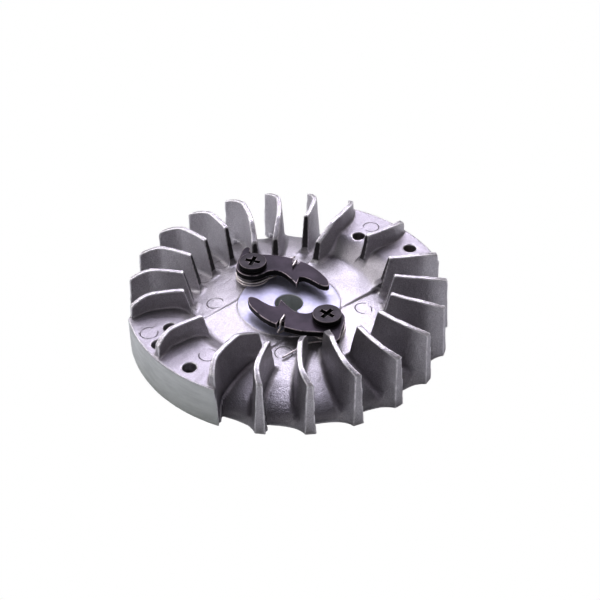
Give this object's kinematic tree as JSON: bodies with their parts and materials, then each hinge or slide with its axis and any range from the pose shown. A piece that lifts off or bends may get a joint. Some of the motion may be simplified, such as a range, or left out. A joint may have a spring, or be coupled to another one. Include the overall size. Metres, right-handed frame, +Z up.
{
  "type": "flywheel",
  "caption": "Finned cast flywheel of a small engine, with spring-loaded starter pawls that pivot beside its hub and sealed ignition magnet blocks in its rim.",
  "frame": {"origin": "at the middle of the bounding box, on the plane of the wheel's flat underside, with the crankshaft axis through it", "axes": "+Z runs up the crankshaft axis to the side with the pawls, +X to the right and +Y to the back as the wheel is usually looked at, with the magnet block at the back right and the balance block at the front left"},
  "size_m": [0.0996, 0.0992, 0.0198],
  "materials": {
    "cast_aluminium": "rough die cast, machined on the rim, hub face and bore",
    "sintered_steel": "dark oiled satin with worn edges",
    "black_oxide": "black oxide",
    "spring_steel": "bright drawn wire",
    "pole_steel": "laminated steel, lightly rusted",
    "magnet_alloy": "ground magnet alloy"
  },
  "bodies": {
    "flywheel": {"flywheel_casting": "cast_aluminium", "ignition_magnet": "magnet_alloy", "pole_shoe_leading": "pole_steel", "pole_shoe_trailing": "pole_steel", "balance_weight": "pole_steel", "pivot_bolt_a": "black_oxide", "pivot_bolt_b": "black_oxide", "pawl_spring_a": "spring_steel", "pawl_spring_b": "spring_steel"},
    "pawl_a": {"starter_pawl_a": "sintered_steel"},
    "pawl_b": {"starter_pawl_b": "sintered_steel"}
  },
  "joints": [
    {"name": "pawl_a_pivot", "type": "hinge", "parent": "flywheel", "child": "pawl_a", "pos_m": [-0.0115, 0.01345, 0.0118], "axis": [0, 0, 1], "range_deg": [0, 30], "stiffness_Nm_per_rad": 0.02, "springref_deg": -17.19, "deforming": ["pawl_spring_a"]},
    {"name": "pawl_b_pivot", "type": "hinge", "parent": "flywheel", "child": "pawl_b", "pos_m": [0.0115, -0.01345, 0.0118], "axis": [0, 0, 1], "range_deg": [0, 30], "stiffness_Nm_per_rad": 0.02, "springref_deg": -17.19, "deforming": ["pawl_spring_b"]}
  ]
}
